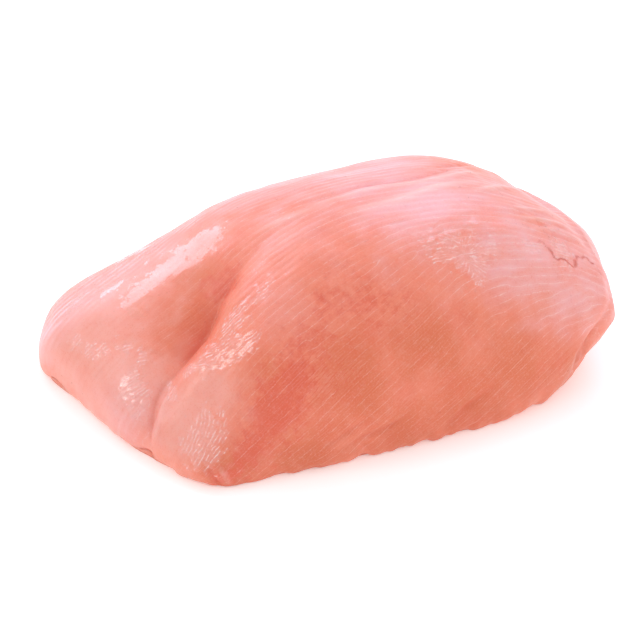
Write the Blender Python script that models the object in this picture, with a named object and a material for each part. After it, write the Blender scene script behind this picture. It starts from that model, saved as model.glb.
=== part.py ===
"""Raw boneless turkey breast: one thick piece of muscle, lying on its flat underside.

The body is a low dome over a plan outline. Its cross-section is a superellipse whose fullness
changes round the piece, and its height follows a crest line from the thin left end to the high
right half. Below its widest level the side tucks in to a flat foot. Grooves, swellings and the
scalloped lower edge are then pressed in or raised along the dome's own normals.
"""

import bpy
import numpy as np

MM = 0.001

# Plan outline at the widest level in mm: near side, right end, far side, cut left end
OUTLINE = (
    (-56, -54), (-12, -59), (42, -62), (76, -60), (107, -48), (124, -19), (122, 17), (104, 51),
    (59, 75), (0, 82), (-49, 80), (-90, 74), (-109, 47), (-101, 20), (-94, -8),
    (-87, -25), (-77, -41), (-70, -50),
)
MIDDLE = (18, 6)

# Stretch of the mesh along and across the piece, so that its faces come out nearly square
SPREAD_ALONG = 1.25
SPREAD_ACROSS = 0.8

# Crest height in mm over x in mm
CREST = (
    (-120, 44), (-88, 46.5), (-56, 55.5), (-24, 70), (8, 78), (40, 80), (72, 82), (104, 77), (126, 69),
)

# Superellipse exponent by compass angle in degrees, 0 towards the right end, and at the top
FULLNESS = (
    (-146, 1.55), (-115, 1.95), (-90, 2.2), (-45, 1.9), (0, 2.35), (45, 2.6), (90, 2.45), (135, 2.6),
    (180, 2.65),
)
FULLNESS_AT_TOP = 2.3

# Height of the widest level: low all along, high under the lifted right end
WIDEST_LOW = 6
WIDEST_RIGHT = 34
LIFT_FROM_X = 50
LIFT_LENGTH = 65
LIFT_POWER = 1.5
TUCK_SHARE = 0.55

# Each groove: its path over the dome, its depth at equal steps, its half widths to the left and
# to the right of the path, all in mm, and its form, 1 for a sharp crease and 2 for a soft hollow
GROOVES = {
    "cleft between the two lobes": (
        (
            (-9, 14, 74), (-23, 8, 68), (-35, 5, 61), (-47, 1, 53), (-58, -7, 45), (-68, -12, 37),
            (-78, -20, 26), (-84, -25, 5),
        ),
        (0, 1.5, 4, 8, 10.5, 8.5, 4.5, 2.5),
        7,
        16,
        1.2,
    ),
    "first notch in the cut edge": (((-106, 35, 0), (-103, 32, 9)), (3.5, 2), 8, 8, 2),
    "second notch in the cut edge": (((-96, 1, 0), (-95, 0, 7)), (2, 1), 4.5, 4.5, 2),
    "third notch in the cut edge": (((-86, -24, 0), (-85, -24, 6)), (1.2, 0.6), 6, 6, 2),
    "saddle over the top behind the cleft": (
        ((-24, 0, 67), (-8, 20, 73), (2, 45, 68), (8, 70, 44)),
        (0, 1, 1, 0),
        16,
        16,
        2,
    ),
    "crease in front of the far flap": (
        ((104, 40, 54), (109, 22, 56), (109, 4, 57), (110, -12, 55), (112, -26, 50), (114, -37, 43)),
        (0, 4.5, 3.2, 1.2, 0.8, 0),
        6,
        7,
        1.5,
    ),
    "edge of the skin flap at the right end": (
        ((114, -36, 44), (112, -45, 35), (106, -50, 30), (99, -53, 25), (94, -55, 19), (91, -57, 12)),
        (0, 1.5, 2.5, 3, 3, 1),
        5,
        2.5,
        1.4,
    ),
    "tuck under the flap at the right end": (
        ((88, -58, 5), (95, -55, 9), (103, -50, 12), (112, -41, 13)),
        (0, 4, 4, 0),
        4,
        4,
        2,
    ),
}

# Each swelling: its centre on the dome, its radius and its height in mm, below 0 for a hollow
SWELLINGS = (
    ((-36, -33, 48), 20, 3.5),
    ((-24, -53, 32), 19, 3.0),
    ((-84, 20, 34), 24, 2.0),
    ((60, -20, 72), 30, 1.2),
    ((-93, 66, 22), 14, 1.5),
    ((-27, 62, 54), 16, 0.9),
    ((26, 52, 68), 20, -1.0),
    ((67, 42, 70), 16, 1.3),
    ((121, -12, 48), 12, 0.7),
    ((121, -26, 42), 10, -1.2),
    ((112, -43, 28), 10, 4.7),
)

# Scallops of the lower edge: wave lengths and phases round the foot, how far they lean, and their
# reach and height
SCALLOPS = ((21, 0.4), (13.5, 2.1), (34, 4.0))
SCALLOP_LEAN = 0.6
SCALLOP_DEPTH = 1.3
SCALLOP_HEIGHT = 9

# Mesh: columns along each side of the top, rows up the sides and rows down the tucked foot
COLUMNS = 40
ROWS_UP = 14
ROWS_DOWN = 4
LEAST_HEIGHT = 0.3
SHARP_ANGLE = 50

# Looks: linear colour and roughness of moist raw poultry muscle
FLESH = (0.83, 0.33, 0.25, 1.0)
FLESH_ROUGHNESS = 0.35


def smooth_curve(points, closed=False, steps=24):
    """Points along the Catmull-Rom curve through the given ones."""
    given = np.asarray(points, float)
    count = len(given)
    spans = count if closed else count - 1
    t = np.linspace(0, 1, steps, endpoint=False)[:, None]
    stretches = []
    for span in range(spans):
        around = [span - 1, span, span + 1, span + 2]
        if closed:
            around = [index % count for index in around]
        else:
            around = [min(max(index, 0), count - 1) for index in around]
        a, b, c, d = given[around]
        cubic = 2 * b + (c - a) * t + (2 * a - 5 * b + 4 * c - d) * t**2 + (3 * b - a - 3 * c + d) * t**3
        stretches.append(0.5 * cubic)
    if not closed:
        stretches.append(given[-1:])
    return np.vstack(stretches)


def plan_radius(angle):
    """Distance from the middle to the plan outline at each angle in radians."""
    ring = smooth_curve(OUTLINE, closed=True) - MIDDLE
    angles = np.arctan2(ring[:, 1], ring[:, 0])
    order = np.argsort(angles)
    return np.interp(angle, angles[order], np.hypot(*ring[order].T), period=2 * np.pi)


def fullness(angle, climb):
    """Superellipse exponent at each angle round the middle and each angle up from the widest level."""
    turns = [(compass + turn, exponent) for turn in (-360, 0, 360) for compass, exponent in FULLNESS]
    compass, exponents = smooth_curve(turns).T
    at_side = np.interp(np.degrees(angle), compass, exponents)
    return at_side + (FULLNESS_AT_TOP - at_side) * np.sin(climb) ** 3


def dome(grid):
    """Points of the plain dome for points of the cube grid, in mm."""
    spread = np.tan(grid * np.pi / 4)
    angle = np.arctan2(SPREAD_ACROSS * spread[:, 1], SPREAD_ALONG * spread[:, 0])
    climb = np.arctan2(np.maximum(spread[:, 2], 0), np.hypot(spread[:, 0], spread[:, 1]))
    exponent = fullness(angle, climb)
    reach = plan_radius(angle) * np.cos(climb) ** (2 / exponent)
    x = MIDDLE[0] + reach * np.cos(angle)
    y = MIDDLE[1] + reach * np.sin(angle)
    lift = np.clip((x - LIFT_FROM_X) / LIFT_LENGTH, 0, 1) ** LIFT_POWER
    widest = WIDEST_LOW + (WIDEST_RIGHT - WIDEST_LOW) * lift
    crest_x, crest_z = smooth_curve(CREST).T
    top = np.interp(x, crest_x, crest_z)
    turn = np.clip(-grid[:, 2], 0, 1) * np.pi / 2
    tuck = TUCK_SHARE * widest * (1 - np.cos(turn))
    above = widest + (top - widest) * np.sin(climb) ** (2 / exponent)
    below = widest * (1 - np.sin(turn))
    z = np.where(turn > 0, below, above)
    return np.stack([x - tuck * np.cos(angle), y - tuck * np.sin(angle), z], axis=1)


def cube_grid(columns, rows_up, rows_down):
    """Grid points on the upper part of a cube, and its quads facing out."""
    across = np.linspace(-1, 1, columns + 1)
    upward = np.concatenate([np.linspace(-1, 0, rows_down + 1)[:-1], np.linspace(0, 1, rows_up + 1)])
    places = {}
    quads = []

    def corner(*place):
        return places.setdefault(tuple(round(float(value), 6) for value in place), len(places))

    for a, b in zip(across, across[1:]):
        for c, d in zip(across, across[1:]):
            quads.append([corner(a, c, 1), corner(b, c, 1), corner(b, d, 1), corner(a, d, 1)])
        for low, high in zip(upward, upward[1:]):
            quads.append([corner(a, -1, low), corner(b, -1, low), corner(b, -1, high), corner(a, -1, high)])
            quads.append([corner(b, 1, low), corner(a, 1, low), corner(a, 1, high), corner(b, 1, high)])
            quads.append([corner(1, a, low), corner(1, b, low), corner(1, b, high), corner(1, a, high)])
            quads.append([corner(-1, b, low), corner(-1, a, low), corner(-1, a, high), corner(-1, b, high)])
    return np.array(list(places)), np.array(quads)


def normals_of(points, quads):
    """Unit normal at each point, from the quads round it."""
    a, b, c, d = (points[quads[:, index]] for index in range(4))
    across = np.cross(c - a, d - b)
    normals = np.zeros_like(points)
    for index in range(4):
        np.add.at(normals, quads[:, index], across)
    return normals / np.linalg.norm(normals, axis=1)[:, None]


def nearest_on(path, points):
    """For each point: distance to the path, the share of the path there, and which side it is on."""
    corners = np.asarray(path, float)
    best = np.full(len(points), np.inf)
    share = np.zeros(len(points))
    side = np.zeros(len(points))
    for index, (start, end) in enumerate(zip(corners, corners[1:])):
        run = end - start
        offset = points - start
        part = np.clip(offset @ run / (run @ run), 0, 1)
        distance = np.linalg.norm(offset - part[:, None] * run, axis=1)
        closer = distance < best
        best = np.where(closer, distance, best)
        share = np.where(closer, (index + part) / (len(corners) - 1), share)
        side = np.where(closer, run[0] * offset[:, 1] - run[1] * offset[:, 0], side)
    return best, share, side


def relief(points):
    """Height of the grooves, swellings and scallops at each point of the dome, in mm."""
    height = np.zeros(len(points))
    for path, depths, width_left, width_right, form in GROOVES.values():
        distance, share, side = nearest_on(path, points)
        depth = np.interp(share, np.linspace(0, 1, len(depths)), depths)
        width = np.where(side > 0, width_left, width_right)
        height -= depth * np.exp(-((distance / width) ** form))
    for centre, radius, rise in SWELLINGS:
        distance = np.linalg.norm(points - centre, axis=1)
        height += rise * np.exp(-((distance / radius) ** 2))
    angle = np.arctan2(points[:, 1] - MIDDLE[1], points[:, 0] - MIDDLE[0])
    mean_radius = np.mean(np.hypot(*(np.array(OUTLINE) - MIDDLE).T))
    waves = np.zeros(len(points))
    for length, phase in SCALLOPS:
        count = round(2 * np.pi * mean_radius / length)
        turns = count * angle + phase
        waves += np.sin(turns + SCALLOP_LEAN * np.sin(turns))
    height += SCALLOP_DEPTH / len(SCALLOPS) * waves * np.exp(-points[:, 2] / SCALLOP_HEIGHT)
    return height


def turkey_breast_mesh():
    grid, quads = cube_grid(COLUMNS, ROWS_UP, ROWS_DOWN)
    plain = dome(grid)
    points = plain + relief(plain)[:, None] * normals_of(plain, quads)
    foot = grid[:, 2] <= -1
    points[:, 2] = np.where(foot, 0, np.maximum(points[:, 2], LEAST_HEIGHT))
    # The origin is the middle of the plan, on the flat foot
    points[:, :2] -= (points[:, :2].min(axis=0) + points[:, :2].max(axis=0)) / 2
    ring = np.nonzero(foot)[0]
    order = np.argsort(-np.arctan2(grid[ring, 1], grid[ring, 0]))
    faces = quads.tolist() + [ring[order].tolist()]
    mesh = bpy.data.meshes.new("turkey_breast")
    mesh.from_pydata((points * MM).tolist(), [], faces)
    mesh.validate()
    mesh.shade_smooth()
    mesh.set_sharp_from_angle(angle=np.radians(SHARP_ANGLE))
    return mesh


def raw_flesh():
    """Moist raw poultry muscle: salmon pink and glossy."""
    material = bpy.data.materials.new("raw turkey flesh")
    material.use_nodes = True
    shader = material.node_tree.nodes["Principled BSDF"]
    shader.inputs["Base Color"].default_value = FLESH
    shader.inputs["Roughness"].default_value = FLESH_ROUGHNESS
    shader.inputs["Metallic"].default_value = 0.0
    return material


for old in list(bpy.data.objects):
    bpy.data.objects.remove(old)

breast_mesh = turkey_breast_mesh()
breast_mesh.materials.append(raw_flesh())
turkey_breast = bpy.data.objects.new("turkey_breast", breast_mesh)
bpy.context.scene.collection.objects.link(turkey_breast)
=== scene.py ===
import math

import bpy
import numpy as np
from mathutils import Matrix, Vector, noise


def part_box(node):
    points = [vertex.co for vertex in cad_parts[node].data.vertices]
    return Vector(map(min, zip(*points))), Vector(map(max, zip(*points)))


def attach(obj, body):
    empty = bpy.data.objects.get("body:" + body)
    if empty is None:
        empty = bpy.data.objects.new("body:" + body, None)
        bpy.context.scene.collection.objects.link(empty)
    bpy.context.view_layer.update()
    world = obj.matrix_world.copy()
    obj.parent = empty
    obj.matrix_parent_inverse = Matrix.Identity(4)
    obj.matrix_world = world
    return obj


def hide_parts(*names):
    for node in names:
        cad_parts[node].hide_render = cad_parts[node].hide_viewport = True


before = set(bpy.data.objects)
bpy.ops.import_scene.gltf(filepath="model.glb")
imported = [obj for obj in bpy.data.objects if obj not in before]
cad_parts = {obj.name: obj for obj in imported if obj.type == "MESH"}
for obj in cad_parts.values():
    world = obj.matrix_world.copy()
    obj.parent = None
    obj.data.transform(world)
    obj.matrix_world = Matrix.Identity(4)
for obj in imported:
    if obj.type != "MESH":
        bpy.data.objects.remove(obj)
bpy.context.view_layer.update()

MM = 0.001

# The muscle
# One half of a turkey's breast, cut off the bone and skinned: a thick lobe and a thinner one with a
# cleft between them. It is soft, so it has sagged into a low dome with a flat foot.

# Plan outline at the widest level in mm: near side, right end, far side, cut left end
OUTLINE = (
    (-56, -54), (-12, -59), (42, -62), (76, -60), (107, -48), (124, -19), (122, 17), (104, 51),
    (59, 75), (0, 82), (-49, 80), (-90, 74), (-109, 47), (-101, 20), (-94, -8),
    (-87, -25), (-77, -41), (-70, -50),
)
MIDDLE = (18, 6)
SPREAD_ALONG = 1.25
SPREAD_ACROSS = 0.8

# Crest height in mm over x in mm
CREST = (
    (-120, 44), (-88, 46.5), (-56, 55.5), (-24, 70), (8, 78), (40, 80), (72, 82), (104, 77), (126, 69),
)

# Superellipse exponent by compass angle in degrees, 0 towards the right end, and at the top
FULLNESS = (
    (-146, 1.55), (-115, 1.95), (-90, 2.2), (-45, 1.9), (0, 2.35), (45, 2.6), (90, 2.45), (135, 2.6),
    (180, 2.65),
)
FULLNESS_AT_TOP = 2.3

# Height of the widest level: low all along, high under the lifted right end
WIDEST_LOW = 6
WIDEST_RIGHT = 34
LIFT_FROM_X = 50
LIFT_LENGTH = 65
LIFT_POWER = 1.5
TUCK_SHARE = 0.55

# Each groove: its path, its depth at equal steps, its half widths left and right of the path in mm,
# and its form, 1 for a sharp crease and 2 for a soft hollow
GROOVES = {
    "cleft between the two lobes": (
        (
            (-9, 14, 74), (-23, 8, 68), (-35, 5, 61), (-47, 1, 53), (-58, -7, 45), (-68, -12, 37),
            (-78, -20, 26), (-84, -25, 5),
        ),
        (0, 1.5, 4, 8, 10.5, 8.5, 4.5, 2.5),
        7,
        16,
        1.2,
    ),
    "first notch in the cut edge": (((-106, 35, 0), (-103, 32, 9)), (3.5, 2), 8, 8, 2),
    "second notch in the cut edge": (((-96, 1, 0), (-95, 0, 7)), (2, 1), 4.5, 4.5, 2),
    "third notch in the cut edge": (((-86, -24, 0), (-85, -24, 6)), (1.2, 0.6), 6, 6, 2),
    "saddle over the top behind the cleft": (
        ((-24, 0, 67), (-8, 20, 73), (2, 45, 68), (8, 70, 44)),
        (0, 1, 1, 0),
        16,
        16,
        2,
    ),
    "crease in front of the far flap": (
        ((104, 40, 54), (109, 22, 56), (109, 4, 57), (110, -12, 55), (112, -26, 50), (114, -37, 43)),
        (0, 4.5, 3.2, 1.2, 0.8, 0),
        6,
        7,
        1.5,
    ),
    "edge of the skin flap at the right end": (
        ((114, -36, 44), (112, -45, 35), (106, -50, 30), (99, -53, 25), (94, -55, 19), (91, -57, 12)),
        (0, 1.5, 2.5, 3, 3, 1),
        5,
        2.5,
        1.4,
    ),
    "tuck under the flap at the right end": (
        ((88, -58, 5), (95, -55, 9), (103, -50, 12), (112, -41, 13)),
        (0, 4, 4, 0),
        4,
        4,
        2,
    ),
}

# Each swelling: its centre on the dome, its radius and its height in mm, below 0 for a hollow
SWELLINGS = (
    ((-36, -33, 48), 20, 3.5),
    ((-24, -53, 32), 19, 3.0),
    ((-84, 20, 34), 24, 2.0),
    ((60, -20, 72), 30, 1.2),
    ((-93, 66, 22), 14, 1.5),
    ((-27, 62, 54), 16, 0.9),
    ((26, 52, 68), 20, -1.0),
    ((67, 42, 70), 16, 1.3),
    ((121, -12, 48), 12, 0.7),
    ((121, -26, 42), 10, -1.2),
    ((112, -43, 28), 10, 4.7),
)

# Scallops of the lower edge: wave lengths and phases round the foot, how far they lean, and their
# reach and height
SCALLOPS = ((21, 0.4), (13.5, 2.1), (34, 4.0))
SCALLOP_LEAN = 0.6
SCALLOP_DEPTH = 1.3
SCALLOP_HEIGHT = 9

# Mesh about 1 mm fine: columns along each side of the top, rows up the sides, rows down the tucked
# foot, and rings across the underside
COLUMNS = 164
ROWS_UP = 60
ROWS_DOWN = 10
RINGS_UNDER = 12


def smooth_curve(points, closed=False, steps=24):
    """Points along the Catmull-Rom curve through the given ones."""
    given = np.asarray(points, float)
    count = len(given)
    spans = count if closed else count - 1
    t = np.linspace(0, 1, steps, endpoint=False)[:, None]
    stretches = []
    for span in range(spans):
        around = [span - 1, span, span + 1, span + 2]
        if closed:
            around = [index % count for index in around]
        else:
            around = [min(max(index, 0), count - 1) for index in around]
        a, b, c, d = given[around]
        cubic = 2 * b + (c - a) * t + (2 * a - 5 * b + 4 * c - d) * t**2 + (3 * b - a - 3 * c + d) * t**3
        stretches.append(0.5 * cubic)
    if not closed:
        stretches.append(given[-1:])
    return np.vstack(stretches)


def plan_radius(angle):
    """Distance from the middle to the plan outline at each angle in radians."""
    ring = smooth_curve(OUTLINE, closed=True) - MIDDLE
    angles = np.arctan2(ring[:, 1], ring[:, 0])
    order = np.argsort(angles)
    return np.interp(angle, angles[order], np.hypot(*ring[order].T), period=2 * np.pi)


def fullness(angle, climb):
    """Superellipse exponent at each angle round the middle and each angle up from the widest level."""
    turns = [(compass + turn, exponent) for turn in (-360, 0, 360) for compass, exponent in FULLNESS]
    compass, exponents = smooth_curve(turns).T
    at_side = np.interp(np.degrees(angle), compass, exponents)
    return at_side + (FULLNESS_AT_TOP - at_side) * np.sin(climb) ** 3


def dome(grid):
    """Points of the plain dome for points of the cube grid, in mm."""
    spread = np.tan(grid * np.pi / 4)
    angle = np.arctan2(SPREAD_ACROSS * spread[:, 1], SPREAD_ALONG * spread[:, 0])
    climb = np.arctan2(np.maximum(spread[:, 2], 0), np.hypot(spread[:, 0], spread[:, 1]))
    exponent = fullness(angle, climb)
    reach = plan_radius(angle) * np.cos(climb) ** (2 / exponent)
    x = MIDDLE[0] + reach * np.cos(angle)
    y = MIDDLE[1] + reach * np.sin(angle)
    lift = np.clip((x - LIFT_FROM_X) / LIFT_LENGTH, 0, 1) ** LIFT_POWER
    widest = WIDEST_LOW + (WIDEST_RIGHT - WIDEST_LOW) * lift
    crest_x, crest_z = smooth_curve(CREST).T
    top = np.interp(x, crest_x, crest_z)
    turn = np.clip(-grid[:, 2], 0, 1) * np.pi / 2
    tuck = TUCK_SHARE * widest * (1 - np.cos(turn))
    above = widest + (top - widest) * np.sin(climb) ** (2 / exponent)
    below = widest * (1 - np.sin(turn))
    z = np.where(turn > 0, below, above)
    return np.stack([x - tuck * np.cos(angle), y - tuck * np.sin(angle), z], axis=1)


def cube_grid(columns, rows_up, rows_down):
    """Grid points on the upper part of a cube, its quads facing out, and the side each quad is on."""
    across = np.linspace(-1, 1, columns + 1)
    upward = np.concatenate([np.linspace(-1, 0, rows_down + 1)[:-1], np.linspace(0, 1, rows_up + 1)])
    places = {}
    quads = []
    sides = []

    def quad(side, *corners):
        rounded = [tuple(round(float(value), 6) for value in corner) for corner in corners]
        quads.append([places.setdefault(place, len(places)) for place in rounded])
        sides.append(side)

    for a, b in zip(across, across[1:]):
        for c, d in zip(across, across[1:]):
            quad("top", (a, c, 1), (b, c, 1), (b, d, 1), (a, d, 1))
        for low, high in zip(upward, upward[1:]):
            quad("near", (a, -1, low), (b, -1, low), (b, -1, high), (a, -1, high))
            quad("far", (b, 1, low), (a, 1, low), (a, 1, high), (b, 1, high))
            quad("right", (1, a, low), (1, b, low), (1, b, high), (1, a, high))
            quad("left", (-1, b, low), (-1, a, low), (-1, a, high), (-1, b, high))
    return np.array(list(places)), np.array(quads), np.array(sides)


def normals_of(points, quads):
    """Unit normal at each point, from the quads round it."""
    a, b, c, d = (points[quads[:, index]] for index in range(4))
    across = np.cross(c - a, d - b)
    normals = np.zeros_like(points)
    for index in range(4):
        np.add.at(normals, quads[:, index], across)
    return normals / np.linalg.norm(normals, axis=1)[:, None]


def nearest_on(path, points):
    """For each point: distance to the path, the share of the path there, and which side it is on."""
    corners = np.asarray(path, float)
    best = np.full(len(points), np.inf)
    share = np.zeros(len(points))
    side = np.zeros(len(points))
    for index, (start, end) in enumerate(zip(corners, corners[1:])):
        run = end - start
        offset = points - start
        part = np.clip(offset @ run / (run @ run), 0, 1)
        distance = np.linalg.norm(offset - part[:, None] * run, axis=1)
        closer = distance < best
        best = np.where(closer, distance, best)
        share = np.where(closer, (index + part) / (len(corners) - 1), share)
        side = np.where(closer, run[0] * offset[:, 1] - run[1] * offset[:, 0], side)
    return best, share, side


def relief(points):
    """Height of the grooves, swellings and scallops at each point of the dome, in mm."""
    height = np.zeros(len(points))
    for path, depths, width_left, width_right, form in GROOVES.values():
        distance, share, side = nearest_on(path, points)
        depth = np.interp(share, np.linspace(0, 1, len(depths)), depths)
        width = np.where(side > 0, width_left, width_right)
        height -= depth * np.exp(-((distance / width) ** form))
    for centre, radius, rise in SWELLINGS:
        distance = np.linalg.norm(points - centre, axis=1)
        height += rise * np.exp(-((distance / radius) ** 2))
    angle = np.arctan2(points[:, 1] - MIDDLE[1], points[:, 0] - MIDDLE[0])
    mean_radius = np.mean(np.hypot(*(np.array(OUTLINE) - MIDDLE).T))
    waves = np.zeros(len(points))
    for length, phase in SCALLOPS:
        count = round(2 * np.pi * mean_radius / length)
        turns = count * angle + phase
        waves += np.sin(turns + SCALLOP_LEAN * np.sin(turns))
    height += SCALLOP_DEPTH / len(SCALLOPS) * waves * np.exp(-points[:, 2] / SCALLOP_HEIGHT)
    return height


grid, quads, sides = cube_grid(COLUMNS, ROWS_UP, ROWS_DOWN)
plain = dome(grid)
body = plain + relief(plain)[:, None] * normals_of(plain, quads)
foot = grid[:, 2] <= -1
outward = normals_of(body, quads)

# The surface of the muscle
# Bundles of fibre 3 to 4 mm wide climb its near side at 40 degrees, run along its top and bend down
# at its right end. A thin clear membrane lies over them, tight on the thin lobe and wrinkled where
# the knife and the skinning have pulled at it.

# The way that the fibres run at some places on the body, how far in mm each place counts fully, and
# how much it counts far away
FIBRE_GUIDES = (
    ((-96, 10, 19), (0.5, -0.3, 0.8)),
    ((-99, 30, 27), (0.7, 0.1, 0.7)),
    ((-75, 28, 41), (0.85, 0.35, 0.4)),
    ((-72, -2, 34), (0.95, 0.0, 0.3)),
    ((-80, -16, 20), (0.65, 0.2, 0.75)),
    ((-37, 1, 55), (0.8, 0.05, 0.6)),
    ((-44, -35, 45), (0.7, 0.0, 0.7)),
    ((-51, -50, 18), (0.8, 0.1, 0.55)),
    ((13, -60, 20), (0.8, 0.05, 0.6)),
    ((69, -61, 18), (0.8, 0.1, 0.6)),
    ((20, -43, 60), (0.85, 0.3, 0.4)),
    ((2, -24, 71), (0.95, 0.1, 0.3)),
    ((7, 18, 77), (0.95, -0.1, 0.25)),
    ((30, 2, 80), (0.97, -0.2, 0.0)),
    ((66, -9, 77), (0.95, -0.2, -0.2)),
    ((78, -34, 64), (0.95, 0.05, -0.3)),
    ((109, -8, 57), (0.85, -0.2, -0.5)),
    ((105, -35, 50), (0.75, -0.2, -0.65)),
    ((82, -55, 33), (0.9, 0.25, 0.35)),
    ((-60, 75, 30), (0.9, 0.1, 0.4)),
    ((10, 80, 40), (0.95, 0.0, -0.1)),
    ((80, 66, 40), (0.8, -0.1, -0.55)),
)
GUIDE_REACH = 24
FAR_GUIDE_SHARE = 1e-4

# Width of a bundle, the number, length and width of the stretches that bundles are laid down by, and
# how faint the waves at a place are when a stretch there starts out of step
BUNDLE_WIDTH = 3.5
BUNDLE_STRETCHES = 1500
STRETCH_LENGTH = 15
STRETCH_WIDTH = 6
FAINT_WAVE = 0.05
SEED = 7


def noise_over(points, size, seed=0.0):
    """Smooth noise of about -1 to 1 with features of the given size in mm, one size or one an axis."""
    scaled = points / np.asarray(size, float) + seed
    return np.array([noise.noise(Vector(place)) for place in scaled.tolist()])


def fibre_directions(points, normals):
    """Unit vector along the fibres at each point, from the guides near it."""
    way = np.tile((0.01, 0.0, 0.0), (len(points), 1))
    for place, guide in FIBRE_GUIDES:
        away = np.linalg.norm(points - place, axis=1) / GUIDE_REACH
        way += np.exp(-(away**2))[:, None] * guide + FAR_GUIDE_SHARE / (1 + away**2)[:, None] * guide
    way -= np.sum(way * normals, axis=1)[:, None] * normals
    return way / np.linalg.norm(way, axis=1)[:, None]


def bundle_waves(points, normals, along):
    """Waves one bundle wide across the fibres, as cosine and sine. They are laid down stretch by
    stretch, each in step with what is there already, so bundles run on, join and split."""
    draw = np.random.default_rng(SEED)
    across = np.cross(normals, along)
    wave = np.zeros(len(points), complex)
    for spot in draw.integers(0, len(points), BUNDLE_STRETCHES):
        offset = points - points[spot]
        near = np.nonzero(np.abs(offset).max(axis=1) < 2 * STRETCH_LENGTH)[0]
        offset = offset[near]
        lengthwise = offset @ along[spot] / STRETCH_LENGTH
        sideways = offset @ across[spot]
        sunk = offset @ normals[spot] / STRETCH_WIDTH
        weight = np.exp(-(lengthwise**2) - (sideways / STRETCH_WIDTH) ** 2 - sunk**2)
        step = np.angle(wave[spot]) if abs(wave[spot]) > FAINT_WAVE else draw.uniform(-np.pi, np.pi)
        wave[near] += weight * np.exp(1j * (2 * np.pi * sideways / BUNDLE_WIDTH + step))
    wave /= np.maximum(np.abs(wave), 1e-6)
    return wave.real, wave.imag


# Places that the membrane is pulled towards, how far in mm the wrinkles round them reach, and the
# strength of the pull against the fibres
PULLED_TO = (((48, -35, 70), 10), ((-62, -13, 32), 22))
PULL = 4


def wrinkle_directions(points, normals, along):
    """Unit vector along the wrinkles at each point: along the fibres, or towards a pulled place."""
    way = along.copy()
    for centre, reach in PULLED_TO:
        towards = points - centre
        distance = np.linalg.norm(towards, axis=1)[:, None] + 1e-6
        towards *= np.sign(np.sum(towards * along, axis=1) + 1e-9)[:, None] / distance
        way += PULL * np.exp(-((distance / reach) ** 2)) * towards
    way -= np.sum(way * normals, axis=1)[:, None] * normals
    return way / np.linalg.norm(way, axis=1)[:, None]


# Sizes in mm of the bays in the edges of the spots below
BAY_SIZE, SMALL_BAY_SIZE = 9, 4


def patches(points, name):
    """Share from 0 to 1 of soft spots with uneven edges: each a centre, a radius in mm and a share."""
    ragged, spots = SPOTS[name]
    seed = float(list(SPOTS).index(name))
    bays = ragged * noise_over(points, BAY_SIZE, seed)
    uneven = 1 + bays + ragged / 2 * noise_over(points, SMALL_BAY_SIZE, seed + 5)
    clear = np.ones(len(points))
    for centre, radius, most in spots:
        distance = np.linalg.norm(points - centre, axis=1) * uneven
        clear *= 1 - most * np.exp(-((distance / radius) ** 2))
    return 1 - clear


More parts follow.
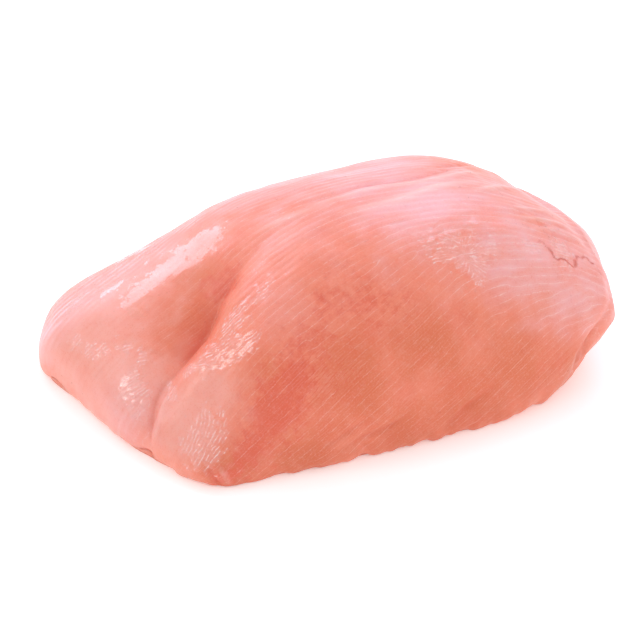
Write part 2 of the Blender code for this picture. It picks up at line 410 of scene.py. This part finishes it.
# Where the surface differs: how ragged the edges are, and the spots. The pale lobe is thin, so it looks
# milky, the film is thick membrane under a painted lilac sheen, and the bare flesh has none. The tan
# flesh is partly more orange and partly painted shade low on the near side, and the cleft has painted
# shade in it. The wrinkled membrane is loose, the crinkles have painted shade in their fine folds, the
# streaks are a painted reflection of the bright surroundings along the seams, and the wet has a film of
# water.
SPOTS = {
    "pale lobe": (0.3, (
        ((-91, 26, 32), 24, 1), ((-88, -1, 25), 19, 1), ((-80, 45, 45), 26, 1), ((-72, -30, 20), 17, 1),
        ((-58, -31, 32), 11, 0.8), ((-100, 45, 22), 22, 1), ((-92, 10, 8), 16, 1),
        ((-50, 38, 54), 15, 0.7),
    )),
    # Thick membrane, with a painted lilac sheen on it
    "film": (0.3, (
        ((42, -7, 79), 24, 1), ((70, -6, 77), 22, 0.7), ((28, 22, 80), 24, 1), ((45, 30, 76), 22, 1),
        ((0, 45, 73), 24, 0.8), ((80, -36, 61), 18, 0.8), ((108, 8, 56), 20, 0.8),
        ((104, -40, 43), 18, 0.8), ((62, -38, 62), 14, 0.7), ((112, -20, 52), 14, 0.6),
        ((-10, 2, 73), 20, 0.3), ((-28, -24, 58), 12, 0.3), ((84, -48, 44), 12, 0.4),
        ((-70, 54, 40), 13, 0.5), ((-90, 50, 32), 13, 0.6), ((-50, 55, 48), 12, 0.5),
        ((-30, 53, 58), 12, 0.5), ((-104, 48, 22), 10, 0.9), ((-89, -12, 15), 13, 0.6),
        ((-12, 52, 64), 12, 0.6),
    )),
    "bare": (0.5, (
        ((-41, -49, 27), 11, 1), ((-53, -51, 14), 8, 1), ((-31, -46, 40), 10, 0.8),
        ((12, -45, 58), 12, 0.3), ((-4, -33, 63), 12, 0.4), ((-40, 6, 51), 9, 0.75),
        ((-35, 8, 57), 8, 0.5), ((-22, -38, 52), 10, 0.5),
        ((96, -24, 61), 9, 0.5), ((84, -14, 70), 8, 0.3), ((-64, -50, 6), 7, 0.8),
    )),
    # Partly more orange flesh and partly painted shade low on the near side
    "tan": (0.3, (
        ((-8, -57, 29), 14, 1), ((38, -61, 17), 20, 1), ((23, -53, 46), 15, 1), ((8, -60, 12), 14, 1),
        ((62, -58, 26), 18, 1), ((-61, -52, 7), 13, 1), ((-30, -57, 10), 15, 1), ((88, -56, 16), 12, 1),
        ((-40, -40, 40), 9, 0.7), ((-61, 6, 41), 14, 0.9), ((-48, 16, 51), 12, 0.7),
        ((-10, -50, 44), 14, 0.8),
    )),
    # Painted shade in the cleft
    "cleft shade": (0.5, (
        ((-53, -4, 38), 7, 1), ((-60, -8, 33), 5, 0.8), ((-48, -2, 43), 8, 0.9), ((-42, 3, 50), 8, 0.5),
    )),
    "wrinkled": (0.5, (
        ((-85, -7, 26), 7, 1), ((-84, -13, 21), 6, 1), ((-66, -38, 24), 6, 0.9), ((-68, -42, 18), 8, 1),
        ((-68, -45, 12), 6, 1), ((-71, -20, 25), 4, 1), ((-97, 28, 27), 3.5, 0.9),
        ((-94, 21, 28), 3.5, 0.8), ((-89, 14, 30), 4, 0.9), ((-82, 7, 33), 4, 0.9), ((-77, 1, 33), 4, 0.9),
        ((-64, -18, 34), 4, 1), ((-59, -21, 38), 5, 1), ((-54, -22, 42), 6, 1), ((-48, -25, 46), 6, 1),
        ((-43, -30, 48), 5, 0.9), ((-48, -16, 49), 5, 0.9), ((-42, -15, 54), 5.5, 0.8),
        ((-35, -17, 59), 5, 0.7), ((-28, -13, 63), 5, 0.6), ((45, -31, 71), 9, 0.8),
        ((52, -34, 69), 8, 0.8), ((59, -33, 69), 7, 0.7), ((50, -39, 64), 7, 0.7),
        ((36, -29, 72), 7, 0.7), ((94, -33, 58), 7, 0.9), ((78, -33, 64), 6, 0.7),
    )),
    # Painted shade in fine folds of the membrane
    "crinkle shade": (0.5, (
        ((-29, -47, 40), 6, 0.8), ((-22, -49, 41), 7, 0.9), ((-17, -52, 38), 7, 0.9),
        ((-11, -52, 40), 6, 0.8), ((-5, -52, 40), 5, 0.6), ((-27, -51, 36), 6, 0.7),
        ((14, -41, 60), 7, 0.5),
    )),
    # Painted reflection of the bright surroundings, in streaks along the seams
    "streaked sheen": (0.4, (
        ((-101, 52, 23), 9, 1), ((-93, 51, 30), 9, 1), ((-82, 54, 36), 8, 1), ((-70, 56, 41), 8, 1),
        ((-58, 57, 45), 7, 0.9), ((-46, 56, 50), 7, 0.9), ((-34, 55, 55), 7, 0.8),
        ((-20, 52, 62), 7, 0.6), ((40, 28, 76), 10, 0.4), ((20, 30, 76), 10, 0.4),
        ((106, -3, 58), 8, 0.4),
    )),
    "wet": (0.4, (
        ((-35, 32, 61), 6, 1), ((-43, 32, 57), 7, 1), ((-51, 32, 52), 7, 1), ((-59, 31, 48), 6.5, 1),
        ((-67, 29, 44), 6, 1), ((-72, 22, 41), 5.5, 1), ((-77, 44, 39), 5, 1), ((-68, 54, 41), 7, 0.9),
        ((-58, 56, 45), 7, 0.8), ((-92, 50, 31), 7, 0.8),
    )),
}

# Creases and folds left by the knife and the skinning: path, depth at equal steps and half width in
# mm, a depth below 0 being a raised edge. Their form is between a sharp crease, 1, and a hollow, 2.
CREASE_FORM = 1.5
CREASES = {
    "bottom of the cleft": (
        ((-43, 2, 48), (-49, -2, 41), (-53, -5, 38), (-58, -8, 34), (-64, -11, 30), (-70, -13, 27)),
        (0, 0.8, 1.5, 1.6, 1.2, 0), 1.3,
    ),
    "tail of the cleft": (
        ((-68, -12, 29), (-74, -14, 26), (-79, -18, 22), (-82, -22, 16), (-84, -26, 8)),
        (0, 0.9, 1.2, 1.0, 0.4), 1.3,
    ),
    "edge beside the tail": (
        ((-70, -18, 28), (-75, -19, 24), (-78, -22, 20), (-81, -26, 15), (-82, -29, 9)),
        (0, -0.5, -0.6, -0.5, 0), 1.3,
    ),
    "fold at the near corner": (((-69, -48, 11), (-68, -50, 8), (-66, -52, 2)), (0, 1.2, 1.5), 1.3),
    "edge of the fold at the corner": (
        ((-66, -51, 11), (-64, -52, 8), (-62, -53, 3)), (0, -0.7, -0.4), 1.2,
    ),
    "first fold at the near edge": (((-26, -58, 11), (-14, -59, 17), (-4, -59, 22)), (0, 1.0, 0), 1.3),
    "second fold at the near edge": (((25, -62, 5), (38, -61, 15), (52, -60, 22)), (0, 1.4, 0), 1.7),
    "third fold at the near edge": (
        ((-22, -59, 8), (-8, -59, 12), (5, -60, 15), (12, -60, 20)), (0, 1, 1, 0), 1.2,
    ),
    "fold over the top": (
        ((-4, 20, 74), (9, 16, 77), (30, 16, 79), (48, 13, 79), (62, 16, 77), (81, 23, 71)),
        (0, 0.9, 1.2, 1.0, 0.9, 0), 1.5,
    ),
    "raised edge of the fold": (
        ((2, 14, 76), (14, 11, 78), (32, 11, 80), (50, 8, 79), (66, 11, 77), (84, 18, 71)),
        (0, -0.8, -1.0, -0.9, -0.9, 0), 1.8,
    ),
    "far fold over the top": (((56, 20, 77), (72, 24, 74), (92, 34, 65)), (0, 1.2, 0.4), 1.8),
    "second ridge over the top": (
        ((5, 1, 77), (30, -2, 80), (55, 2, 79), (85, 4, 71)), (0, -0.9, -1.1, 0), 2.8,
    ),
    "ridge at the shoulder": (((-24, 16, 67), (-7, 13, 73), (12, 8, 78)), (0, -0.8, 0), 2.5),
    "edge of the pale pocket": (
        ((66, -4, 77), (76, -1, 75), (90, 6, 69), (98, 6, 64)), (0, -1, -0.8, 0), 1.6,
    ),
    "first streak above the tear": (((74, -16, 73), (90, -12, 67), (104, -10, 59)), (0, -0.9, 0), 1.2),
    "second streak above the tear": (
        ((76, -21, 71), (92, -18, 65), (106, -17, 56)), (0, -1.0, -0.4), 1.2,
    ),
    "third streak above the tear": (((80, -26, 68), (95, -22, 61), (108, -24, 53)), (0, -1.0, -0.4), 1.3),
    "edge of the skin at the left end": (
        ((-104, 46, 23), (-96, 63, 22), (-89, 67, 25)), (0, 1.2, 0), 1.4,
    ),
}

# The tear in the membrane: its path, how far open it is at equal steps, and its bends as their reach,
# their size in mm and their seed. Its far lip stands up and its near lip lies sunken.
TEAR = (
    (57, -38, 65), (65, -36, 66), (73, -34, 66), (80, -31, 65), (86, -31, 63), (90, -36, 58),
    (95, -37, 54), (98, -38, 53), (100, -34, 53), (105, -33, 51), (109, -34, 48), (111, -38, 44),
)
TEAR_OPEN = (0, 0.1, 0.12, 0, 0.6, 1, 1, 0.5, 0.9, 0.8, 1, 0.3)
TEAR_BENDS = ((1.6, 4, 9.0), (1.0, 2, 3.0))
TEAR_WIDTH = 1.0
RAISED_LIP, RAISED_LIP_REACH = 0.4, 4
SUNKEN_LIP, SUNKEN_LIP_REACH = 0.45, 1.3

# Heights in mm of the bundles, the large and small lumps, and the puckers among the wrinkles
BUNDLE_HEIGHT = 0.14
LUMP_SIZE, LUMP_HEIGHT = 19, 0.6
SMALL_LUMP_SIZE, SMALL_LUMP_HEIGHT = 8, 0.3
PUCKER_SIZE, PUCKER_HEIGHT = 2.4, 0.3

# Lowest that the surface comes over the table, above its flat foot
LEAST_HEIGHT = 0.3


def tear_distance(points):
    """Distance in mm to the ragged line of the tear, how far open it is there, and which side it is."""
    bends = sum(reach * noise_over(points, size, seed) for reach, size, seed in TEAR_BENDS)
    ragged = points + bends[:, None]
    distance, share, side = nearest_on(smooth_curve(TEAR, steps=6), ragged)
    return distance, np.interp(share, np.linspace(0, 1, len(TEAR_OPEN)), TEAR_OPEN), side


def creasing(points):
    """Height in mm of the creases and raised edges at each point of the body."""
    height = np.zeros(len(points))
    for path, depths, width in CREASES.values():
        distance, share, side = nearest_on(smooth_curve(path, steps=6), points)
        depth = np.interp(share, np.linspace(0, 1, len(depths)), depths)
        height -= depth * np.exp(-((distance / width) ** CREASE_FORM))
    return height


def membrane_relief(points, bundle):
    """Height in mm of the bundles, lumps, tear and wrinkles at each point of the body."""
    rough = 1 - 0.95 * patches(points, "pale lobe")
    rounded = np.sqrt((1 + bundle) / 2)
    height = BUNDLE_HEIGHT * rough * np.clip(0.7 + noise_over(points, 11, seed=4), 0.2, 1.2) * rounded
    height += LUMP_HEIGHT * noise_over(points, LUMP_SIZE, seed=11)
    height += SMALL_LUMP_HEIGHT * (0.3 + 0.7 * rough) * noise_over(points, SMALL_LUMP_SIZE, seed=12)
    distance, torn, side = tear_distance(points)
    raised = RAISED_LIP * np.exp(-distance / RAISED_LIP_REACH)
    sunken = SUNKEN_LIP * np.exp(-distance / SUNKEN_LIP_REACH)
    height += torn * np.where(side < 0, raised, -sunken)
    puckers = np.abs(noise_over(points, PUCKER_SIZE, seed=15)) * 2 - 0.6
    height += PUCKER_HEIGHT * patches(points, "wrinkled") * puckers
    return height


along = fibre_directions(body, outward)
bundle_cosine, bundle_sine = bundle_waves(body, outward, along)
creases = creasing(body)
surface = body + (creases + membrane_relief(body, bundle_cosine))[:, None] * outward
surface[:, 2] = np.where(foot, 0, np.maximum(surface[:, 2], LEAST_HEIGHT))

# The underside, in rings from the foot to its middle
ring = np.nonzero(foot)[0]
ring = ring[np.argsort(np.arctan2(grid[ring, 1], grid[ring, 0]))]
centre = np.array([MIDDLE[0], MIDDLE[1], 0.0])
under = [centre + (surface[ring] - centre) * (1 - step / RINGS_UNDER) for step in range(1, RINGS_UNDER)]
points = np.vstack([surface, *under, centre[None]])
faces = quads.tolist()
rings = [ring]
rings += [len(surface) + len(ring) * step + np.arange(len(ring)) for step in range(RINGS_UNDER - 1)]
for outer, inner in zip(rings, rings[1:]):
    faces += np.stack([np.roll(outer, -1), outer, inner, np.roll(inner, -1)], axis=1).tolist()
for before, after in zip(rings[-1].tolist(), np.roll(rings[-1], -1).tolist()):
    faces.append([after, before, len(points) - 1])

# The body fills the same box as the solid that it stands for
low, high = (np.array(corner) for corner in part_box("turkey_breast"))
least, most = points.min(axis=0), points.max(axis=0)
placed = low + (points - least) / (most - least) * (high - low)

mesh = bpy.data.meshes.new("turkey breast")
mesh.from_pydata(placed.tolist(), [], faces)
mesh.shade_smooth()


def give(mesh, name, values):
    """Stores a number or a vector at each point of the mesh, 0 where there are none."""
    padded = np.zeros((len(mesh.vertices), *values.shape[1:]), dtype=np.float32)
    padded[:len(values)] = values
    kind, field = ("FLOAT_VECTOR", "vector") if values.ndim == 2 else ("FLOAT", "value")
    mesh.attributes.new(name, kind, "POINT").data.foreach_set(field, padded.ravel())


give(mesh, "across fibres", np.cross(outward, along))
along_wrinkles = wrinkle_directions(body, outward, along)
give(mesh, "across wrinkles", np.cross(outward, along_wrinkles))
give(mesh, "bundle cosine", bundle_cosine)
give(mesh, "bundle sine", bundle_sine)
give(mesh, "crease", creases)
distance, torn, side = tear_distance(body)
give(mesh, "torn", torn * np.exp(-((distance / TEAR_WIDTH) ** 2)))
for name in SPOTS:
    give(mesh, name, patches(points, name))

# Where each side lies on the flat map, as shares of its width and height: left, bottom, width, height
ISLANDS = {
    "top": (0.0, 0.55, 0.6, 0.375),
    "near": (0.0, 0.28, 0.63, 0.225),
    "far": (0.0, 0.03, 0.63, 0.225),
    "left": (0.61, 0.55, 0.385, 0.22),
    "right": (0.61, 0.775, 0.385, 0.22),
    "under": (0.64, 0.28, 0.355, 0.225),
}

# The two axes of the cube grid that each side is laid out by
GRID_AXES = {"top": (0, 1), "near": (0, 2), "far": (0, 2), "left": (1, 2), "right": (1, 2)}
spots_on_map = []
for name, face in zip(sides, quads):
    pair = grid[face][:, GRID_AXES[name]]
    spots_on_map.append((pair + 1) / 2)
flat = np.vstack(spots_on_map)
names = np.repeat(sides, 4)
under_loops = np.array([index for face in faces[len(quads):] for index in face])
flat = np.vstack([flat, ((points - least) / (most - least))[under_loops][:, :2]])
names = np.concatenate([names, np.repeat("under", len(under_loops))])
island = np.array([ISLANDS[name] for name in names])
flat = island[:, :2] + flat * island[:, 2:]
mesh.uv_layers.new(name="OFBake").data.foreach_set("uv", flat.ravel())


def linear(code):
    """Linear colour of an sRGB hex code."""
    shares = [int(code[place:place + 2], 16) / 255 for place in (1, 3, 5)]
    curved = [share / 12.92 if share <= 0.04045 else ((share + 0.055) / 1.055) ** 2.4 for share in shares]
    return [*curved, 1.0]


# Raw poultry muscle under a moist membrane: light soaks a few millimetres into the salmon flesh, the
# thin lobes look milky, and the water on the membrane gives a clear gloss that breaks up on wrinkles.
# Some sheen, glints and shade are painted into its colour as well, each named where it is laid on.
FLESH = "#F08C71"
TAN = "#DD754F"
# Painted shade colour for the tan low down
TAN_IN_PAINTED_SHADE = "#C96848"
RED = "#E0644A"
LOBE = "#F1AA9D"
# Membrane colour with a painted lilac sheen
FILM_AND_SHEEN = "#F0B9BC"
SEAM = "#F8D3CB"
# Painted shade colour, laid in the cleft and in the open tear
PAINTED_SHADE_RED = "#CB513B"
# Painted reflection colour for the streaks
STREAKED_SHEEN = "#FAD6DC"
# Painted sheen colour for the wet wrinkles
PAINTED_SHEEN = "#F9C3BF"
# Painted highlight colour for the wrinkle crests
PAINTED_GLINT = "#FFEEEC"

flesh = bpy.data.materials.new("raw turkey flesh under moist membrane")
flesh.use_nodes = True
tree = flesh.node_tree
shader = tree.nodes["Principled BSDF"]


def node(kind, inputs=(), output=0, **settings):
    """Adds a node with its settings, sets or links its inputs in order or by name, and gives an output."""
    made = tree.nodes.new(f"ShaderNode{kind}")
    for name, value in settings.items():
        setattr(made, name, value)
    for place, value in inputs.items() if isinstance(inputs, dict) else enumerate(inputs):
        if isinstance(value, bpy.types.NodeSocket):
            tree.links.new(value, made.inputs[place])
        else:
            made.inputs[place].default_value = value
    return made.outputs[output]


def product(*factors):
    """Product of numbers, outputs, and outputs mapped from one range to 0 to 1 or to a second range."""
    result = 1.0
    for factor in factors:
        if isinstance(factor, tuple):
            factor = node("MapRange", factor)
        result = node("Math", (result, factor), operation="MULTIPLY")
    return result


position = node("TexCoord", output="Object")
height = node("SeparateXYZ", (position,), output="Z")
across_fibres = node("Attribute", output="Vector", attribute_name="across fibres")
across_wrinkles = node("Attribute", output="Vector", attribute_name="across wrinkles")
share = {}
for name in ("bundle cosine", "bundle sine", "crease", "torn", *SPOTS):
    share[name] = node("Attribute", output="Fac", attribute_name=name)

# Uneven fields: the size of their features in mm, their detail and their distortion
FIELDS = {
    "blotches": (14, 3, 0), "mottle": (4, 4, 0), "speckle": (0.7, 2, 0), "ragged edges": (3, 4, 0),
    "wandering": (2.2, 2, 0), "breaks in seams": (8, 3, 0), "breaks between seams": (6, 3, 0.3),
    "breaks in wrinkles": (2.2, 3, 0.5),
}
field = {}
for name, (size, detail, distortion) in FIELDS.items():
    settings = {"Vector": position, "Scale": 1 / (size * MM), "Detail": detail, "Distortion": distortion}
    field[name] = node("TexNoise", settings)

# Bands of thicker film, 7 mm wide and four times as long
BAND_WIDTH, BAND_STRETCH = 7, 4
stretched = node("VectorMath", (position, (1 / BAND_STRETCH, 1.0, 1.0)), operation="MULTIPLY")
bands = node("TexNoise", {"Vector": stretched, "Scale": 1 / (BAND_WIDTH * MM), "Detail": 3.0})

# Grain of single fibres, 1.1 mm apart and 6 mm long
GRAIN_WIDTH, GRAIN_LENGTH = 1.1, 6
grain = node("TexGabor", {
    "Vector": position, "Scale": 1 / (GRAIN_LENGTH * MM), "Frequency": GRAIN_LENGTH / GRAIN_WIDTH,
    "Anisotropy": 1.0, "Orientation 3D": across_fibres,
}, gabor_type="3D")

# Seams of pale tissue between the bundles: thin beaded lines, with fainter ones half way between
turn = node("Math", (share["bundle sine"], share["bundle cosine"]), operation="ARCTAN2")
turn = node("Math", (turn, node("MapRange", (field["wandering"], 0.3, 0.7, -0.4, 0.4))), operation="ADD")
turn = node("Math", (turn,), operation="ABSOLUTE")
between = product((turn, math.pi * 0.89, math.pi), (field["breaks in seams"], 0.35, 0.6, 0.15, 1.0))
halfway = product((turn, math.pi * 0.09, 0.0), (field["breaks between seams"], 0.45, 0.7, 0.0, 0.7))
seam = product(
    node("Math", (between, halfway), operation="ADD"), (field["speckle"], 0.35, 0.6, 0.35, 1.0),
    (share["film"], 0.0, 0.6, 0.4, 0.9), (share["pale lobe"], 0.0, 0.8, 1.0, 0.1),
)

# Where the membrane is wet it is a flat clear gloss with a ragged edge, and where it is pulled it
# stands in wrinkles 1.6 mm apart and 12 mm long, which glint and bend 2 mm aside every 3 mm or so
WRINKLE_WIDTH, WRINKLE_LENGTH = 1.6, 12
WRINKLE_BEND, BEND_LENGTH = 2.0, 3
ragged = node("MapRange", (field["ragged edges"], 0.3, 0.7, -0.4, 0.4))
bend = node("TexNoise", {"Vector": position, "Scale": 1 / (BEND_LENGTH * MM), "Detail": 2.0}, output="Color")
bent = node("VectorMath", (bend, [WRINKLE_BEND * MM] * 3, position), operation="MULTIPLY_ADD")
phase = node("TexGabor", {
    "Vector": bent, "Scale": 1 / (WRINKLE_LENGTH * MM), "Frequency": WRINKLE_LENGTH / WRINKLE_WIDTH,
    "Anisotropy": 1.0, "Orientation 3D": across_wrinkles,
}, output="Phase", gabor_type="3D")
from_crest = node("Math", (phase, 0.5), operation="SUBTRACT")
from_crest = node("Math", (from_crest,), operation="ABSOLUTE")
wrinkled = node("MapRange", (node("Math", (share["wrinkled"], ragged), operation="ADD"), 0.4, 0.6))
fine_ragged = node("MapRange", (field["speckle"], 0.3, 0.7, -0.2, 0.2))
torn_edge = node("Math", (ragged, fine_ragged), operation="ADD")
wet = node("MapRange", (node("Math", (share["wet"], torn_edge), operation="ADD"), 0.4, 0.48))
glossy = node("Math", (wrinkled, wet), operation="MAXIMUM")
tight = product((share["film"], 0.0, 0.7, 1.0, 0.4), (share["pale lobe"], 0.0, 0.8, 1.0, 0.6))
# Crests of the wrinkles: they raise the coat's relief and take painted glints
crest = product(wrinkled, tight, (from_crest, 0.18, 0.0), (field["breaks in wrinkles"], 0.44, 0.6))
# Valleys of the wrinkles, which take painted shade
painted_valley_shade = product(wrinkled, tight, (from_crest, 0.3, 0.5))

# Colours from the flesh up: each with the shares and ranges that it is laid on by
bare = node("Math", (share["bare"], product(ragged, 0.7)), operation="ADD")
LAYERS = (
    # Partly more orange flesh and partly painted shade low on the near side
    (TAN, share["tan"]),
    # Painted shade: the tan grows darker towards the table
    (TAN_IN_PAINTED_SHADE, share["tan"], (height, 0.022, 0.002, 0.0, 0.6)),
    (RED, (field["blotches"], 0.45, 0.75, 0.0, 0.3)),
    (RED, (bare, 0.2, 0.8, 0.0, 0.85)),
    (LOBE, share["pale lobe"], (field["blotches"], 0.3, 0.65, 1.0, 0.8)),
    # Membrane with a painted lilac sheen
    (FILM_AND_SHEEN, share["film"], (bands, 0.35, 0.6, 0.6, 1.0), (turn, 0.6, 2.6, 0.88, 1.0)),
    (SEAM, (field["mottle"], 0.5, 0.72, 0.0, 0.06)),
    (RED, (field["mottle"], 0.5, 0.28, 0.0, 0.06)),
    (RED, (turn, 1.6, 0.0, 0.0, 0.1), (field["breaks in seams"], 0.4, 0.6)),
    # Painted reflection of the bright surroundings, in streaks along the seams
    (STREAKED_SHEEN, share["streaked sheen"], (turn, 1.4, 2.4, 0.0, 0.7), (field["breaks in seams"], 0.35, 0.55)),
    (LOBE, (grain, 0.5, 0.85, 0.0, 0.15)),
    (SEAM, seam, 0.85),
    (LOBE, (field["speckle"], 0.52, 0.75, 0.0, 0.2)),
    (RED, (field["speckle"], 0.46, 0.28, 0.0, 0.2)),
    # Painted shade in the cleft
    (PAINTED_SHADE_RED, share["cleft shade"], 0.3),
    # Painted shade in the creases and painted highlight along their raised edges
    (RED, (share["crease"], -0.2, -1.5, 0.0, 0.45)),
    (SEAM, (share["crease"], 0.1, 1.0, 0.0, 0.5)),
    # Painted sheen over the wrinkled membrane
    (PAINTED_SHEEN, wrinkled, 0.2),
    # Painted shade in the wrinkle valleys
    (RED, painted_valley_shade, 0.2),
    # Painted glints on the wrinkle crests
    (PAINTED_GLINT, crest, 0.75),
    # Painted shade in fine folds of the membrane
    (RED, share["crinkle shade"], (from_crest, 0.34, 0.46), (field["breaks in wrinkles"], 0.4, 0.55, 0.0, 0.7)),
    # Painted shade in the open tear
    (PAINTED_SHADE_RED, (share["torn"], 0.1, 0.75, 0.0, 0.8)),
)
colour = linear(FLESH)
for code, *factors in LAYERS:
    colour = node("Mix", {0: product(*factors), 6: colour, 7: linear(code)}, output=2, data_type="RGBA")

# The flesh shows its seams and speckle in slight relief, and the wet film over it its wrinkles. Their
# heights are shares of a tenth of a millimetre.
RELIEF_STEP = 0.1
flesh_height = node("Math", (product(seam, 0.3), product(field["speckle"], 0.1)), operation="ADD")
film_height = node("Math", (product(crest, 1.5), product(seam, 0.2)), operation="ADD")
for relief_height, name in ((flesh_height, "Normal"), (film_height, "Coat Normal")):
    bump = node("Bump", {"Strength": 1.0, "Distance": RELIEF_STEP * MM, "Height": relief_height})
    tree.links.new(bump, shader.inputs[name])
dull = node("MapRange", (field["mottle"], 0.3, 0.7, 0.3, 0.45))
dull = node("Math", (dull, product(glossy, 0.12)), operation="SUBTRACT")

tree.links.new(colour, shader.inputs["Base Color"])
tree.links.new(dull, shader.inputs["Roughness"])
tree.links.new(node("MapRange", (glossy, 0.0, 1.0, 0.08, 1.0)), shader.inputs["Coat Weight"])
shader.inputs["Subsurface Weight"].default_value = 0.3
shader.inputs["Subsurface Radius"].default_value = (1.0, 0.4, 0.25)
shader.inputs["Subsurface Scale"].default_value = 2.5 * MM
shader.inputs["IOR"].default_value = 1.4
shader.inputs["Coat Roughness"].default_value = 0.07
shader.inputs["Coat IOR"].default_value = 1.36

mesh.materials.append(flesh)
breast = bpy.data.objects.new("turkey_breast_flesh", mesh)
bpy.context.scene.collection.objects.link(breast)
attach(breast, "root")
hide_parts("turkey_breast")

# The table
# A sheet of opal acrylic lit from below, as under catalogue food: it shows as plain white and leaves
# hardly any shadow.
OPAL = "#FFFFFF"
OPAL_GLOW = 0.22
TABLE_HALF = 3.0

table_mesh = bpy.data.meshes.new("opal table")
corners = [(x * TABLE_HALF, y * TABLE_HALF, 0) for x, y in ((-1, -1), (1, -1), (1, 1), (-1, 1))]
table_mesh.from_pydata(corners, [], [(0, 1, 2, 3)])
opal = bpy.data.materials.new("matt opal acrylic")
opal.use_nodes = True
opal_shader = opal.node_tree.nodes["Principled BSDF"]
opal_shader.inputs["Base Color"].default_value = linear(OPAL)
opal_shader.inputs["Roughness"].default_value = 0.9
opal_shader.inputs["Emission Color"].default_value = linear(OPAL)
opal_shader.inputs["Emission Strength"].default_value = OPAL_GLOW
table_mesh.materials.append(opal)
table = bpy.data.objects.new("opal_table", table_mesh)
bpy.context.scene.collection.objects.link(table)

# The studio
# White surroundings and large soft boxes. Each is given by the compass angle and height that it is seen
# at from the meat in degrees, its half size in degrees, and its brightness against the surroundings.
SURROUNDINGS = 0.79
BOX_DISTANCE = 1.3
SOFT_BOXES = {
    "behind the left lobe": (-161, 30, 12.5, 3.6, "#F3E6FF"),
    "behind the right end": (130, 50, 20, 2.1, "#E8DAFF"),
    "beside the left end": (-104, 34, 6.5, 6.5, "#FFF6F4"),
    "in front of the right end": (50, 25, 25, 0.4, "#FFFFFF"),
}

world = bpy.data.worlds.new("white studio")
world.use_nodes = True
world.node_tree.nodes["Background"].inputs["Color"].default_value = (1, 1, 1, 1)
world.node_tree.nodes["Background"].inputs["Strength"].default_value = SURROUNDINGS
bpy.context.scene.world = world
middle = Vector(((low + high) / 2).tolist())


def direction(compass, climb):
    """Unit vector towards a compass angle, 0 being the near side, and a height, both in degrees."""
    turn, rise = math.radians(compass), math.radians(climb)
    return Vector((math.sin(turn) * math.cos(rise), -math.cos(turn) * math.cos(rise), math.sin(rise)))


for name, (compass, climb, half, brightness, code) in SOFT_BOXES.items():
    lamp = bpy.data.lights.new(name, "AREA")
    lamp.size = 2 * BOX_DISTANCE * math.tan(math.radians(half))
    lamp.energy = brightness * math.pi * lamp.size**2
    lamp.color = linear(code)[:3]
    box = bpy.data.objects.new(name, lamp)
    towards = direction(compass, climb)
    box.location = middle + towards * BOX_DISTANCE
    box.rotation_euler = towards.to_track_quat("Z", "Y").to_euler()
    bpy.context.scene.collection.objects.link(box)

# The camera
# A short telephoto lens, seen from a little left of the near side and well above.
CAMERA_COMPASS = -24
CAMERA_CLIMB = 35
CAMERA_DISTANCE = 0.63
LOOK_AT = (-8.2, -10.1, 28)

camera = bpy.data.cameras.new("camera")
camera.lens = 85
camera.sensor_width = 36
camera.clip_start = 0.01
viewer = bpy.data.objects.new("camera", camera)
back = direction(CAMERA_COMPASS, CAMERA_CLIMB)
viewer.location = Vector(LOOK_AT) * MM + back * CAMERA_DISTANCE
viewer.rotation_euler = back.to_track_quat("Z", "Y").to_euler()
bpy.context.scene.collection.objects.link(viewer)
bpy.context.scene.camera = viewer
bpy.context.scene.view_settings.view_transform = "Standard"
